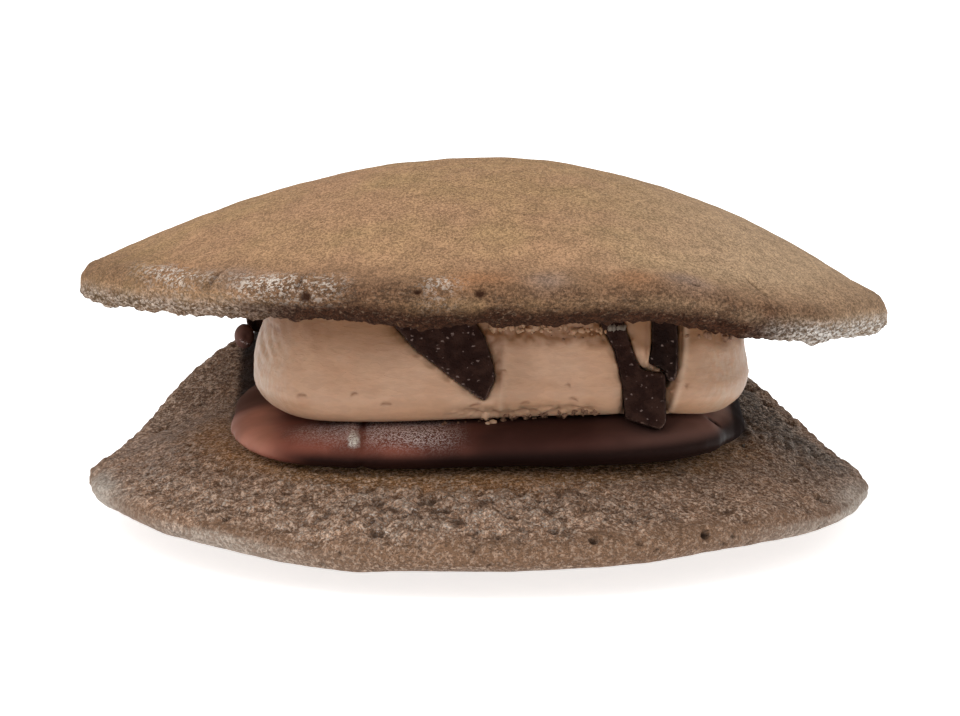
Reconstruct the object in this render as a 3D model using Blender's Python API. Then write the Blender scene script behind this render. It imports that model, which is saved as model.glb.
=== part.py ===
"""A chocolate dorayaki: two cocoa pancakes round glossy paste, a block of cocoa cream and chocolate pieces.

The pancakes meet at the back and gape at the front, so the filling shows. X runs to the right, +Y to the
back, and Z up. The origin is the middle of the small flat spot that the lower pancake rests on. Lengths are
in metres.
"""

import math

import bmesh
import bpy
from mathutils import Matrix, Vector, noise

# Clearance between pieces that touch.
GAP = 0.0003

# Lower pancake: a disc with a bellied underside, whose inner face rises to a flat seat for the filling.
LOWER_RADIUS = 0.0465
LOWER_RIM_HEIGHT = 0.0055
LOWER_SEAT_RADIUS = 0.0260
LOWER_SEAT_HEIGHT = 0.0120
LOWER_FLAT_RADIUS = 0.0100
LOWER_BELLY_POWER = 2.4
LOWER_SLOPE_POWER = 1.6
LOWER_DROOP = 0.0009
LOWER_SIDE_DROP = 0.0010
LOWER_SIDE_PINCH = 0.35
LOWER_RINGS = 7
# Waves of its rim: (angle from the front towards the right, width, height).
LOWER_WAVES = (
    (math.radians(-68.0), math.radians(9.0), 0.0005),
    (math.radians(-45.0), math.radians(20.0), 0.0004),
    (math.radians(-25.0), math.radians(8.0), -0.0006),
    (math.radians(45.0), math.radians(25.0), 0.0011),
    (math.radians(82.0), math.radians(14.0), 0.0009),
)

# Behind the filling the lower pancake curls up to meet the upper one.
CURL_START = 0.0135
CURL_END = 0.0425
CURL_HEIGHT = 0.0092
CURL_LEFT_MORE = 0.33
CURL_LEFT_START = 0.0080
CURL_LEFT_END = 0.0330

# Upper pancake: a dome, hollow underneath, tipped up at the front and a little down on the right.
UPPER_RADIUS = 0.0478
UPPER_CENTRE = Vector((0.0004, 0.0, 0.0270))
UPPER_DOME = 0.0140
UPPER_DOME_POWER = 1.87
UPPER_APEX_SHIFT = 0.0021
UPPER_HOLLOW = 0.0085
UPPER_HOLLOW_POWER = 2.2
UPPER_PITCH = math.radians(8.4)
UPPER_ROLL = math.radians(2.5)
UPPER_FLAT_RADIUS = 0.0060
UPPER_RINGS = 8
# Waves of its rim, given as above.
UPPER_WAVES = (
    (math.radians(-45.0), math.radians(25.0), -0.0006),
    (math.radians(22.0), math.radians(9.0), 0.0011),
    (math.radians(52.0), math.radians(13.0), -0.0011),
)

# Both rims are rounded noses of these half thicknesses and this depth, a little out of round and lumpy.
LOWER_RIM_HALF = 0.0022
UPPER_RIM_HALF = 0.0026
RIM_NOSE = 0.0024
RIM_WAVER = 0.0009
BROAD_WAVER_TURNS = 1.7
FINE_WAVER_TURNS = 4.5
FINE_WAVER_SHARE = 0.5
LUMP_SIZE = 0.0060
LUMP_HEIGHT = 0.00045
DOME_LUMP_SHARE = 0.45
LUMP_START = 0.0120
LUMP_FULL = 0.0035
WAVE_START = 0.55

# Each pattern of waver or lumps is drawn from its own place in the noise.
LOWER_WAVER_SEED = 3.0
UPPER_WAVER_SEED = 21.0
LOWER_LUMP_SEED = 11.0
UPPER_LUMP_SEED = 31.0
PASTE_LUMP_SEED = 41.0

# Paste: a thick round-cornered layer on the seat, a little thicker on the right, thin at its right end.
# Its nose is short below and rolls off in a long shoulder above.
PASTE_CENTRE = (0.0008, -0.0014)
PASTE_HALF = (0.0306, 0.0310)
PASTE_THICKNESS = 0.0045
PASTE_SQUARENESS = (2.9, 3.4)
PASTE_NOSE = 0.0030
PASTE_SHOULDER = 0.0068
PASTE_SHOULDER_DROP = 0.0030
PASTE_TAPER_START = 0.0240
PASTE_TAPER_END = 0.0320
PASTE_TAPER_DROP = 0.0012
PASTE_LUMP_SIZE = 0.0100
PASTE_LUMP_HEIGHT = 0.00035
PASTE_SIDE = (0.80, 0.96)

# On the left the foot of the paste settles this far down the slope beyond the seat.
PASTE_SETTLE = 0.70
PASTE_SETTLE_START = -0.0100
PASTE_SETTLE_END = 0.0200

# A fold near the front right corner of the paste.
FOLD_ANGLE = math.radians(-33.0)
FOLD_WIDTH = math.radians(5.0)
FOLD_DEPTH = 0.0011

# Cream: a block from the paste up to the hollow of the upper pancake, rounded at its foot, drawn in above.
CREAM_CENTRE = (0.0024, -0.0008)
CREAM_HALF = (0.0289, 0.0278)
CREAM_SQUARENESS = (3.0, 5.0)
CREAM_FOOT = 0.0032
CREAM_WALL = 0.0140
CREAM_DRAW_IN = 0.095
CREAM_TOP = 0.0450
CREAM_WALL_STEPS = 4

# The foot of the cream is tucked in at both ends.
TUCK = 0.0014
TUCK_HEIGHT = 0.0060
TUCK_START = 0.0180

# The top of the paste rises to the right by this much per metre, and falls away from the middle to its ends.
FILLING_RISE = math.tan(math.radians(2.6))
FILLING_FALL = 0.0010
FILLING_REACH = 0.0300

# Steps round the turned pieces, round a rim's nose and round each half of the paste's side.
PANCAKE_STEPS = 84
FILLING_STEPS = 64
PRESS_RINGS = 8
NOSE_STEPS = 6
PASTE_NOSE_STEPS = 3
PASTE_SHOULDER_STEPS = 5
RING_POWER = 0.8
FLAT_RINGS = (0.30, 0.55, 0.72, 0.84)

# Edges sharper than this are shaded sharp.
SHARP_ANGLE = math.radians(40.0)

LOWER_COLOUR = (0.130, 0.085, 0.060, 1.0)
UPPER_COLOUR = (0.300, 0.180, 0.100, 1.0)
PASTE_COLOUR = (0.060, 0.022, 0.015, 1.0)
CREAM_COLOUR = (0.400, 0.235, 0.150, 1.0)
CHOCOLATE_COLOUR = (0.020, 0.010, 0.007, 1.0)


def clear_scene():
    for old in list(bpy.data.objects):
        bpy.data.objects.remove(old, do_unlink=True)


def material(name, colour, roughness):
    made = bpy.data.materials.new(name)
    made.use_nodes = True
    shader = made.node_tree.nodes["Principled BSDF"]
    shader.inputs["Base Color"].default_value = colour
    shader.inputs["Roughness"].default_value = roughness
    shader.inputs["Metallic"].default_value = 0.0
    return made


def smoothstep(low, high, value):
    share = min(max((value - low) / (high - low), 0.0), 1.0)
    return share * share * (3.0 - 2.0 * share)


def spin_closed(outline, steps):
    """A closed solid turned about Z from (radius, height) points that start and end on the axis."""
    shape = bmesh.new()
    points = [shape.verts.new((radius, 0.0, height)) for radius, height in outline]
    edges = [shape.edges.new(pair) for pair in zip(points, points[1:])]
    bmesh.ops.spin(
        shape,
        geom=points + edges,
        cent=(0.0, 0.0, 0.0),
        axis=(0.0, 0.0, 1.0),
        angle=2.0 * math.pi,
        steps=steps,
        use_merge=True,
    )
    bmesh.ops.remove_doubles(shape, verts=shape.verts, dist=1e-6)
    bmesh.ops.recalc_face_normals(shape, faces=shape.faces)
    return shape


def arc(centre_radius, centre_height, depth, half, steps):
    """Points round a nose from its lower edge to its upper edge, both left out."""
    angles = [math.pi * (step / steps - 0.5) for step in range(1, steps)]
    return [(centre_radius + depth * math.cos(a), centre_height + half * math.sin(a)) for a in angles]


def lower_underside(radius):
    """Height of the lower pancake's bellied underside."""
    rim = LOWER_RADIUS - RIM_NOSE
    share = max(radius - LOWER_FLAT_RADIUS, 0.0) / (rim - LOWER_FLAT_RADIUS)
    return (LOWER_RIM_HEIGHT - LOWER_RIM_HALF) * share**LOWER_BELLY_POWER


def lower_inner(radius):
    """Height of the lower pancake's inner face: a flat seat, then a slope down to the rim."""
    rim = LOWER_RADIUS - RIM_NOSE
    edge = LOWER_RIM_HEIGHT + LOWER_RIM_HALF
    share = max(radius - LOWER_SEAT_RADIUS, 0.0) / (rim - LOWER_SEAT_RADIUS)
    return LOWER_SEAT_HEIGHT - (LOWER_SEAT_HEIGHT - edge) * share**LOWER_SLOPE_POWER


def upper_outer(radius):
    """Height of the dome above the middle of its rim."""
    share = radius / (UPPER_RADIUS - RIM_NOSE)
    return UPPER_RIM_HALF + UPPER_DOME * (1.0 - share**UPPER_DOME_POWER)


def upper_inner(radius):
    """Height of the hollow underside above the middle of the rim."""
    share = radius / (UPPER_RADIUS - RIM_NOSE)
    return -UPPER_RIM_HALF + UPPER_HOLLOW * (1.0 - share**UPPER_HOLLOW_POWER)


def face_radii(radius, inner, rings):
    """Radii from a flat middle out to the rim, closer together near the rim."""
    rim = radius - RIM_NOSE
    return [inner + (rim - inner) * (ring / rings) ** RING_POWER for ring in range(rings + 1)]


def lower_outline():
    radii = face_radii(LOWER_RADIUS, LOWER_FLAT_RADIUS, LOWER_RINGS)
    under = [(r, lower_underside(r)) for r in radii]
    nose = arc(LOWER_RADIUS - RIM_NOSE, LOWER_RIM_HEIGHT, RIM_NOSE, LOWER_RIM_HALF, NOSE_STEPS)
    over = [(r, lower_inner(r)) for r in reversed(radii)]
    return [(0.0, 0.0)] + under + nose + over + [(0.0, lower_inner(0.0))]


def upper_outline():
    radii = face_radii(UPPER_RADIUS, UPPER_FLAT_RADIUS, UPPER_RINGS)
    under = [(r, upper_inner(r)) for r in radii]
    nose = arc(UPPER_RADIUS - RIM_NOSE, 0.0, RIM_NOSE, UPPER_RIM_HALF, NOSE_STEPS)
    over = [(r, upper_outer(r)) for r in reversed(radii)]
    return [(0.0, upper_inner(0.0))] + under + nose + over + [(0.0, upper_outer(0.0))]


def waver(shape, seed, radius):
    """Makes the plan of a pancake a little out of round, most at its rim."""
    for vert in shape.verts:
        out = Vector((vert.co.x, vert.co.y, 0.0))
        if out.length < 1e-6:
            continue
        way = out.normalized()
        broad = way * BROAD_WAVER_TURNS
        fine = way * FINE_WAVER_TURNS
        swell = noise.noise(Vector((broad.x, broad.y, seed)))
        swell += FINE_WAVER_SHARE * noise.noise(Vector((fine.x, fine.y, seed + 7.0)))
        vert.co += way * RIM_WAVER * swell * (out.length / radius) ** 3


def roughen(shape, seed, size, height, weight):
    """Raises low bumps of about this size along the normals, scaled by weight(point)."""
    shape.normal_update()
    moves = []
    for vert in shape.verts:
        lift = noise.fractal(vert.co / size + Vector((seed, seed * 0.37, 0.0)), 0.9, 2.1, 3)
        moves.append(vert.normal * height * lift * weight(vert.co))
    for vert, move in zip(shape.verts, moves):
        vert.co += move


def curl(shape):
    """Lifts what lies behind the filling, where the lower pancake turns up."""
    for vert in shape.verts:
        left = smoothstep(CURL_LEFT_START, CURL_LEFT_END, -vert.co.x)
        rise = CURL_HEIGHT * (1.0 + CURL_LEFT_MORE * left)
        vert.co.z += rise * smoothstep(CURL_START, CURL_END, vert.co.y)


def droop(shape):
    """Lowers the right edge of the lower pancake and raises its left edge, clear of the flat spot."""
    for vert in shape.verts:
        radius = math.hypot(vert.co.x, vert.co.y)
        share = smoothstep(LOWER_SEAT_RADIUS, LOWER_RADIUS, radius)
        vert.co.z -= LOWER_DROOP * share * (vert.co.x / LOWER_RADIUS) ** 3


def pinch_sides(shape):
    """Thins the lower pancake's rim towards its left and right tips and lets them sink a little."""
    for vert in shape.verts:
        radius = math.hypot(vert.co.x, vert.co.y)
        share = smoothstep(LOWER_SEAT_RADIUS, LOWER_RADIUS, radius) * (vert.co.x / LOWER_RADIUS) ** 2
        from_middle = vert.co.z - LOWER_RIM_HEIGHT
        vert.co.z -= share * (LOWER_SIDE_PINCH * from_middle + LOWER_SIDE_DROP)


def wave_rim(shape, radius, waves):
    """Raises and lowers the rim in broad waves, each at its own angle from the front."""
    for vert in shape.verts:
        out = math.hypot(vert.co.x, vert.co.y)
        from_front = math.atan2(vert.co.x, -vert.co.y)
        lift = sum(h * math.exp(-(((from_front - angle) / width) ** 2)) for angle, width, h in waves)
        vert.co.z += lift * smoothstep(WAVE_START * radius, radius, out)


def lean_apex(shape):
    """Moves the top of the dome a little to the right."""
    for vert in shape.verts:
        share = 1.0 - (math.hypot(vert.co.x, vert.co.y) / UPPER_RADIUS) ** 2
        vert.co.x += UPPER_APEX_SHIFT * max(share, 0.0)


def pose_upper(shape):
    """Tips a shape made about the upper pancake's own centre into its place."""
    turn = Matrix.Rotation(UPPER_ROLL, 4, "Y") @ Matrix.Rotation(-UPPER_PITCH, 4, "X")
    bmesh.ops.transform(shape, matrix=Matrix.Translation(UPPER_CENTRE) @ turn, verts=shape.verts)


def square_off(shape, centre, half, squareness):
    """Turns a shape spun at radius 1 into a round-cornered plan, with its own squareness left and right."""
    for vert in shape.verts:
        radius = math.hypot(vert.co.x, vert.co.y)
        if radius < 1e-9:
            vert.co.x, vert.co.y = centre
            continue
        power = squareness[1] if vert.co.x > 0.0 else squareness[0]
        cos_part = abs(vert.co.x / radius) ** power
        sin_part = abs(vert.co.y / radius) ** power
        reach = (cos_part + sin_part) ** (-1.0 / power)
        vert.co.x = centre[0] + vert.co.x * reach * half[0]
        vert.co.y = centre[1] + vert.co.y * reach * half[1]


def add_object(name, shape, finish):
    mesh = bpy.data.meshes.new(name)
    bmesh.ops.triangulate(shape, faces=shape.faces)
    shape.to_mesh(mesh)
    shape.free()
    made = bpy.data.objects.new(name, mesh)
    bpy.context.scene.collection.objects.link(made)
    mesh.materials.append(finish)
    mesh.shade_smooth()
    mesh.set_sharp_from_angle(angle=SHARP_ANGLE)
    return made


def add_cutter(name, shape, finish):
    made = add_object(name, shape, finish)
    made.hide_render = True
    made.display_type = "WIRE"
    return made


def cut(target, cutter):
    modifier = target.modifiers.new(cutter.name, "BOOLEAN")
    modifier.operation = "DIFFERENCE"
    modifier.solver = "EXACT"
    modifier.object = cutter


def make_lower_pancake(finish):
    shape = spin_closed(lower_outline(), PANCAKE_STEPS)
    waver(shape, LOWER_WAVER_SEED, LOWER_RADIUS)

    def rim_only(point):
        return smoothstep(LOWER_RADIUS - LUMP_START, LOWER_RADIUS - LUMP_FULL, math.hypot(point.x, point.y))

    roughen(shape, LOWER_LUMP_SEED, LUMP_SIZE, LUMP_HEIGHT, rim_only)
    wave_rim(shape, LOWER_RADIUS, LOWER_WAVES)
    pinch_sides(shape)
    droop(shape)
    curl(shape)
    return add_object("lower_pancake", shape, finish)


def make_upper_pancake(finish):
    shape = spin_closed(upper_outline(), PANCAKE_STEPS)
    waver(shape, UPPER_WAVER_SEED, UPPER_RADIUS)

    def dome_and_rim(point):
        radius = math.hypot(point.x, point.y)
        rim = smoothstep(UPPER_RADIUS - LUMP_START, UPPER_RADIUS - LUMP_FULL, radius)
        on_dome = 1.0 if point.z > 0.5 * (upper_outer(radius) + upper_inner(radius)) else 0.0
        return max(rim, DOME_LUMP_SHARE * on_dome)

    roughen(shape, UPPER_LUMP_SEED, LUMP_SIZE, LUMP_HEIGHT, dome_and_rim)
    wave_rim(shape, UPPER_RADIUS, UPPER_WAVES)
    lean_apex(shape)
    pose_upper(shape)
    return add_object("upper_pancake", shape, finish)


def fold(shape):
    """Presses a crease into the side of the paste, where it was squeezed out in two lobes."""
    for vert in shape.verts:
        out = Vector((vert.co.x - PASTE_CENTRE[0], vert.co.y - PASTE_CENTRE[1], 0.0))
        if out.length < PASTE_SIDE[0] * PASTE_HALF[0]:
            continue
        off = (math.atan2(out.y, out.x) - FOLD_ANGLE) / FOLD_WIDTH
        side = smoothstep(PASTE_SIDE[0], 1.0, out.length / PASTE_HALF[0])
        vert.co -= out.normalized() * FOLD_DEPTH * side * math.exp(-off * off)


def filling_shift(x):
    """How far the top of the paste lies above its height in the middle."""
    return FILLING_RISE * x - FILLING_FALL * (x / FILLING_REACH) ** 2


def paste_top(x):
    """Height of the paste's top before the curl, which falls away at the right end."""
    level = LOWER_SEAT_HEIGHT + GAP + PASTE_THICKNESS + filling_shift(x)
    return level - PASTE_TAPER_DROP * smoothstep(PASTE_TAPER_START, PASTE_TAPER_END, x)


def paste_base(x, y):
    """Height of the paste's foot before the curl: the seat, or part of the slope beyond it on the left."""
    settled = PASTE_SETTLE * smoothstep(PASTE_SETTLE_START, PASTE_SETTLE_END, -x)
    return LOWER_SEAT_HEIGHT + GAP - settled * (LOWER_SEAT_HEIGHT - lower_inner(math.hypot(x, y)))


def make_paste(finish):
    base = LOWER_SEAT_HEIGHT + GAP
    top = base + PASTE_THICKNESS
    nose = PASTE_NOSE / PASTE_HALF[0]
    shoulder = PASTE_SHOULDER / PASTE_HALF[0]
    widest = top - PASTE_SHOULDER_DROP
    under = [(ring, base) for ring in (*FLAT_RINGS, 1.0 - nose)]
    for step in range(1, PASTE_NOSE_STEPS + 1):
        turn = 0.5 * math.pi * step / PASTE_NOSE_STEPS
        under.append((1.0 - nose + nose * math.sin(turn), widest - (widest - base) * math.cos(turn)))
    over = []
    for step in range(1, PASTE_SHOULDER_STEPS + 1):
        turn = 0.5 * math.pi * step / PASTE_SHOULDER_STEPS
        ring = 1.0 - shoulder * (1.0 - math.cos(turn))
        over.append((ring, widest + PASTE_SHOULDER_DROP * math.sin(turn)))
    over += [(ring, top) for ring in reversed(FLAT_RINGS) if ring < 1.0 - shoulder]
    shape = spin_closed([(0.0, base)] + under + over + [(0.0, top)], FILLING_STEPS)
    square_off(shape, PASTE_CENTRE, PASTE_HALF, PASTE_SQUARENESS)
    for vert in shape.verts:
        share = (vert.co.z - base) / PASTE_THICKNESS
        foot = paste_base(vert.co.x, vert.co.y)
        vert.co.z = foot + share * (paste_top(vert.co.x) - foot)

    def side_only(point):
        across = (point.x - PASTE_CENTRE[0]) / PASTE_HALF[0]
        along = (point.y - PASTE_CENTRE[1]) / PASTE_HALF[1]
        outer = smoothstep(*PASTE_SIDE, math.hypot(across, along))
        return outer * smoothstep(base, base + 0.5 * PASTE_THICKNESS, point.z)

    roughen(shape, PASTE_LUMP_SEED, PASTE_LUMP_SIZE, PASTE_LUMP_HEIGHT, side_only)
    fold(shape)
    curl(shape)
    return add_object("paste_layer", shape, finish)


def make_press(finish):
    """The space taken by the upper pancake and all above it, for trimming what lies under it."""
    radii = [UPPER_RADIUS * (step + 1) / PRESS_RINGS for step in range(PRESS_RINGS)]
    under = [(r, upper_inner(r) - GAP) for r in radii]
    over = [(UPPER_RADIUS, CREAM_TOP), (0.0, CREAM_TOP)]
    shape = spin_closed([(0.0, upper_inner(0.0) - GAP)] + under + over, FILLING_STEPS)
    lean_apex(shape)
    pose_upper(shape)
    return add_cutter("press", shape, finish)


def make_cream(finish):
    foot_start = 1.0 - CREAM_FOOT / CREAM_HALF[0]
    foot = [
        (foot_start + (1.0 - foot_start) * math.cos(a), CREAM_FOOT * (1.0 + math.sin(a)))
        for a in map(math.radians, (-90.0, -60.0, -30.0, 0.0))
    ]
    shares = [(step + 1) / CREAM_WALL_STEPS for step in range(CREAM_WALL_STEPS)]
    wall = [(1.0 - CREAM_DRAW_IN * share, CREAM_FOOT + CREAM_WALL * share) for share in shares]
    outline = [(0.0, 0.0)] + [(ring, 0.0) for ring in FLAT_RINGS] + foot + wall
    outline += [(1.0 - CREAM_DRAW_IN, CREAM_TOP), (0.0, CREAM_TOP)]
    shape = spin_closed(outline, FILLING_STEPS)
    square_off(shape, CREAM_CENTRE, CREAM_HALF, CREAM_SQUARENESS)
    for vert in shape.verts:
        low = max(0.0, 1.0 - vert.co.z / TUCK_HEIGHT)
        away = vert.co.x - CREAM_CENTRE[0]
        tuck = TUCK * low * low * smoothstep(TUCK_START, CREAM_HALF[0], abs(away))
        vert.co.x -= math.copysign(tuck, away)
        if vert.co.z < CREAM_TOP - GAP:
            vert.co.z += LOWER_SEAT_HEIGHT + PASTE_THICKNESS + 2.0 * GAP + filling_shift(vert.co.x)
    curl(shape)
    return add_object("cream_block", shape, finish)


def offset_outline(outline, distance):
    """The outline moved outwards by this distance, for corners given anticlockwise in (x, z)."""
    moved = []
    count = len(outline)
    for index in range(count):
        before = Vector(outline[index - 1])
        here = Vector(outline[index])
        after = Vector(outline[(index + 1) % count])
        into = (here - before).normalized()
        onward = (after - here).normalized()
        normal_in = Vector((into.y, -into.x))
        normal_out = Vector((onward.y, -onward.x))
        both = normal_in + normal_out
        moved.append(here + both * (distance / (1.0 + normal_in.dot(normal_out))))
    return moved


def add_shard(name, outline, front, back, lean, finish, make):
    """A snapped piece of chocolate: an (x, z) outline given depth, leaning out at its foot."""
    middle = sum((Vector(corner) for corner in outline), Vector((0.0, 0.0))) / len(outline)
    pivot = Vector((middle.x, 0.5 * (front + back), middle.y))
    turn = Matrix.Translation(pivot) @ Matrix.Rotation(-lean, 4, "X") @ Matrix.Translation(-pivot)
    grow = GAP if make is add_cutter else 0.0
    shape = bmesh.new()
    corners = [shape.verts.new((x, back + grow, z)) for x, z in offset_outline(outline, grow)]
    face = shape.faces.new(corners)
    swept = bmesh.ops.extrude_face_region(shape, geom=[face])
    moved = [item for item in swept["geom"] if isinstance(item, bmesh.types.BMVert)]
    bmesh.ops.translate(shape, vec=(0.0, front - back - 2.0 * grow, 0.0), verts=moved)
    bmesh.ops.transform(shape, matrix=turn, verts=shape.verts)
    bmesh.ops.recalc_face_normals(shape, faces=shape.faces)
    return make(name, shape, finish)


# The cream is open this far in front of each chocolate piece.
WINDOW_REACH = 0.0040

# Chocolate pieces: (x, z) corners anticlockwise as seen from the front, front and back depth, and lean.
SHARDS = {
    "chocolate_centre": (
        ((-0.0106, 0.0292), (-0.0072, 0.0253), (-0.0029, 0.0220), (0.0005, 0.0195), (0.0015, 0.0216),
         (0.0014, 0.0233), (0.0003, 0.0268), (-0.0014, 0.0292)),
        -0.0284, -0.0238, math.radians(9.0),
    ),
    "chocolate_slab": (
        ((0.0131, 0.0292), (0.0154, 0.0249), (0.0162, 0.0211), (0.0165, 0.0174), (0.0204, 0.0162),
         (0.0209, 0.0169), (0.0208, 0.0222), (0.0181, 0.0228), (0.0174, 0.0240), (0.0157, 0.0292)),
        -0.0284, -0.0241, math.radians(12.0),
    ),
    "chocolate_block": (
        ((0.0196, 0.0251), (0.0190, 0.0236), (0.0209, 0.0229), (0.0213, 0.0216), (0.0219, 0.0215),
         (0.0222, 0.0225), (0.0222, 0.0292), (0.0195, 0.0292)),
        -0.0270, -0.0232, math.radians(9.0),
    ),
    "chocolate_back": (
        ((-0.0262, 0.0175), (-0.0244, 0.0177), (-0.0247, 0.0190), (-0.0256, 0.0200), (-0.0290, 0.0198),
         (-0.0290, 0.0183), (-0.0282, 0.0173)),
        0.0320, 0.0345, 0.0,
    ),
}

# A bead of paste squeezed out between the pancakes at the back left.
BEAD_CENTRE = Vector((-0.0293, 0.0299, 0.0171))
BEAD_HALF = Vector((0.0013, 0.0017, 0.0016))


def make_bead(finish):
    shape = bmesh.new()
    bmesh.ops.create_icosphere(shape, subdivisions=3, radius=1.0)
    place = Matrix.Translation(BEAD_CENTRE) @ Matrix.Diagonal(BEAD_HALF.to_4d())
    bmesh.ops.transform(shape, matrix=place, verts=shape.verts)
    return add_object("paste_bead", shape, finish)


def build():
    clear_scene()
    lower_finish = material("lower_pancake", LOWER_COLOUR, 0.75)
    upper_finish = material("upper_pancake", UPPER_COLOUR, 0.85)
    paste_finish = material("paste", PASTE_COLOUR, 0.30)
    cream_finish = material("cream", CREAM_COLOUR, 0.55)
    chocolate_finish = material("chocolate", CHOCOLATE_COLOUR, 0.45)

    make_lower_pancake(lower_finish)
    make_upper_pancake(upper_finish)
    paste = make_paste(paste_finish)
    make_bead(paste_finish)
    cream = make_cream(cream_finish)
    press = make_press(upper_finish)
    cut(cream, press)
    for name, shard in SHARDS.items():
        piece = add_shard(name, *shard, chocolate_finish, add_object)
        notch = add_shard(name + "_notch", *shard, chocolate_finish, add_cutter)
        outline, front, _, lean = shard
        window = (outline, front - WINDOW_REACH, front, lean)
        window = add_shard(name + "_window", *window, chocolate_finish, add_cutter)
        cut(piece, press)
        cut(cream, notch)
        cut(cream, window)
        cut(paste, notch)


build()
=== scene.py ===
# %% [markdown]
# # Finishing a chocolate dorayaki
#
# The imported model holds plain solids: two cocoa pancakes, the paste and the cream between them, and a few
# snapped pieces of chocolate. This lesson turns each solid into the real thing. It keeps every solid's
# place and form, and adds what makes food look like food: crumb, pores, smears, gloss and uneven colour.
#
# The first step loads the solids and keeps their box, because nothing here may outgrow it.

# %% Load the frame
import math
import random

import bmesh
import bpy
import numpy as np
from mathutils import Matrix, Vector, noise
from mathutils.bvhtree import BVHTree


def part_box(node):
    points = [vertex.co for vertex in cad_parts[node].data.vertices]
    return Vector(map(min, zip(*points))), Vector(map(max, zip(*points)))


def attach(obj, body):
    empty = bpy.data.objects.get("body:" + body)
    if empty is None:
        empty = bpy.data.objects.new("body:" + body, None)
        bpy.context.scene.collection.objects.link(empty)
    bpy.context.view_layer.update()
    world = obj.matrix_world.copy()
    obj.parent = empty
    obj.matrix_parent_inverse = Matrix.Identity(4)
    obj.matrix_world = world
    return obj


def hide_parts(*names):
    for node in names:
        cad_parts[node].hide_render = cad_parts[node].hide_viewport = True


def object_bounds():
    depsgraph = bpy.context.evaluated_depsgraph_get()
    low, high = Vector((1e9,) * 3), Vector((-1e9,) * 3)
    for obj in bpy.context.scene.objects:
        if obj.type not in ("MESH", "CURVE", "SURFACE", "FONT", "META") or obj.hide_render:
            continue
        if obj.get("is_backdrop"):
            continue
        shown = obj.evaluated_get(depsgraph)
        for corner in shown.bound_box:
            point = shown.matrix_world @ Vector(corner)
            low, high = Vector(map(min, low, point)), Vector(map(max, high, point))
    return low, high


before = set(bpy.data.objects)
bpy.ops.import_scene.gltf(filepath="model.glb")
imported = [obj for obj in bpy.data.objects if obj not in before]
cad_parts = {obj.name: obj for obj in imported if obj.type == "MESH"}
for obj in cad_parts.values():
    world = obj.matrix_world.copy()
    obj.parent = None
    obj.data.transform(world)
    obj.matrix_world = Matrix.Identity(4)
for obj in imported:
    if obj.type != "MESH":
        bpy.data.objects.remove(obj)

cad_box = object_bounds()
print("nodes:", ", ".join(sorted(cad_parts)))
print("box in mm:", [round(1000.0 * (high - low), 1) for low, high in zip(*cad_box)])

# %% [markdown]
# ## The stage
#
# The cake stands on a bright table under a big soft light and a weaker one in front, so that its dark sponge
# keeps its detail. A long lens a good way off keeps the pancakes' proportions true. The camera looks down by
# only ten degrees, which shows the filling and the inner face of the lower pancake at once.

# %% Camera
LOOK_DOWN = math.radians(10.0)
CAMERA_DISTANCE = 0.600
FRAME_WIDTH = 0.1137
SENSOR = 36.0

aim = Vector((0.0, 0.0, 0.0196))


def new_object(name, data):
    made = bpy.data.objects.new(name, data)
    bpy.context.scene.collection.objects.link(made)
    return made


camera_data = bpy.data.cameras.new("camera")
camera_data.sensor_width = SENSOR
camera_data.lens = SENSOR * CAMERA_DISTANCE / FRAME_WIDTH
camera_data.clip_start = 0.05
camera_data.clip_end = 20.0
camera = new_object("camera", camera_data)
camera.location = aim + CAMERA_DISTANCE * Vector((0.0, -math.cos(LOOK_DOWN), math.sin(LOOK_DOWN)))
camera.rotation_euler = (math.pi / 2.0 - LOOK_DOWN, 0.0, 0.0)
bpy.context.scene.camera = camera
print(f"lens {camera_data.lens:.0f} mm, {CAMERA_DISTANCE * 1000:.0f} mm from the aim")

# %% Lights
WHITE = (1.0, 1.0, 1.0, 1.0)
SKY_STRENGTH = 0.75


def soft_light(name, place, size, power):
    """A square area light that faces the middle of the object."""
    data = bpy.data.lights.new(name, "AREA")
    data.shape = "SQUARE"
    data.size = size
    data.energy = power
    light = new_object(name, data)
    light.location = place
    light.rotation_euler = (aim - Vector(place)).to_track_quat("-Z", "Y").to_euler()


soft_light("overhead_softbox", (-0.20, -0.40, 0.75), 0.60, 3.5)
soft_light("front_fill", (-0.40, -0.90, 0.45), 0.60, 1.0)
world = bpy.data.worlds.new("studio")
world.use_nodes = True
backdrop = world.node_tree.nodes["Background"]
backdrop.inputs["Color"].default_value = WHITE
backdrop.inputs["Strength"].default_value = SKY_STRENGTH
bpy.context.scene.world = world
bpy.context.scene.view_settings.view_transform = "Standard"

# %% Floor
FLOOR_SIZE = 12.0
FLOOR_GLOW = 0.72

floor_shape = bmesh.new()
bmesh.ops.create_grid(floor_shape, x_segments=1, y_segments=1, size=FLOOR_SIZE / 2.0)
floor_mesh = bpy.data.meshes.new("floor")
floor_shape.to_mesh(floor_mesh)
floor_shape.free()
floor = new_object("floor", floor_mesh)
paper = bpy.data.materials.new("pale_floor")
paper.use_nodes = True
paper_shader = paper.node_tree.nodes["Principled BSDF"]
paper_shader.inputs["Base Color"].default_value = (0.90, 0.90, 0.90, 1.0)
paper_shader.inputs["Roughness"].default_value = 0.9
paper_shader.inputs["Specular IOR Level"].default_value = 0.0
paper_shader.inputs["Emission Color"].default_value = WHITE
paper_shader.inputs["Emission Strength"].default_value = FLOOR_GLOW
floor_mesh.materials.append(paper)
floor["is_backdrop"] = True
print("floor is", FLOOR_SIZE, "m wide and glows a little, like a light table")

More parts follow.
